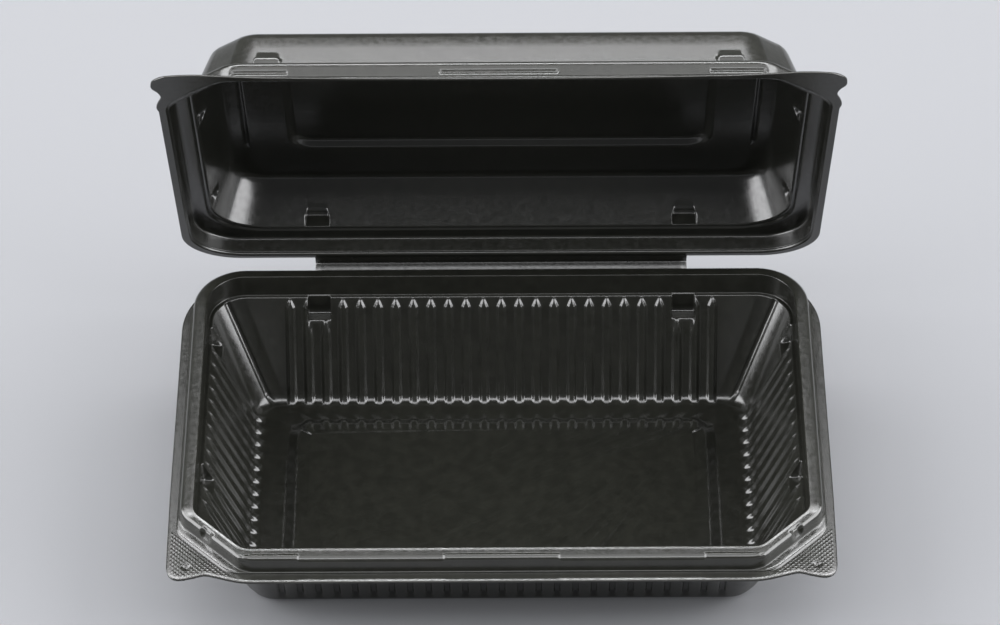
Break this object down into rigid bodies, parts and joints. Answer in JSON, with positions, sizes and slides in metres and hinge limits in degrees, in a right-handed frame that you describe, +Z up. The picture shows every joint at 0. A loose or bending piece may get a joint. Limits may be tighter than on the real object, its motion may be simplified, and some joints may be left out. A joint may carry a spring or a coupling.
{
  "type": "hinged lid food container",
  "caption": "Black formed-plastic food container with ribbed tray, raised snap rim, finger tabs and a domed lid on a folding strip.",
  "frame": {"origin": "on the table, under the middle of the tray's foot", "axes": "+Z up; +X along the length of the hinge, to the right as seen from the opening side; -Y the front, +Y the hinge side"},
  "size_m": [0.2026, 0.1499, 0.1631],
  "materials": {
    "tray_sheet": "satin black, fine grain",
    "lid_sheet": "satin black, fine grain",
    "hinge_sheet": "satin black, creased"
  },
  "bodies": {
    "tray": {"tray_shell": "tray_sheet", "hinge_strip_tray_half": "hinge_sheet"},
    "lid": {"lid_shell": "lid_sheet", "hinge_strip_lid_half": "hinge_sheet"}
  },
  "joints": [
    {"name": "lid_hinge", "type": "hinge", "parent": "tray", "child": "lid", "pos_m": [0, 0.0715, 0.03465], "axis": [-1, 0, 0], "range_deg": [-66, 114]}
  ]
}
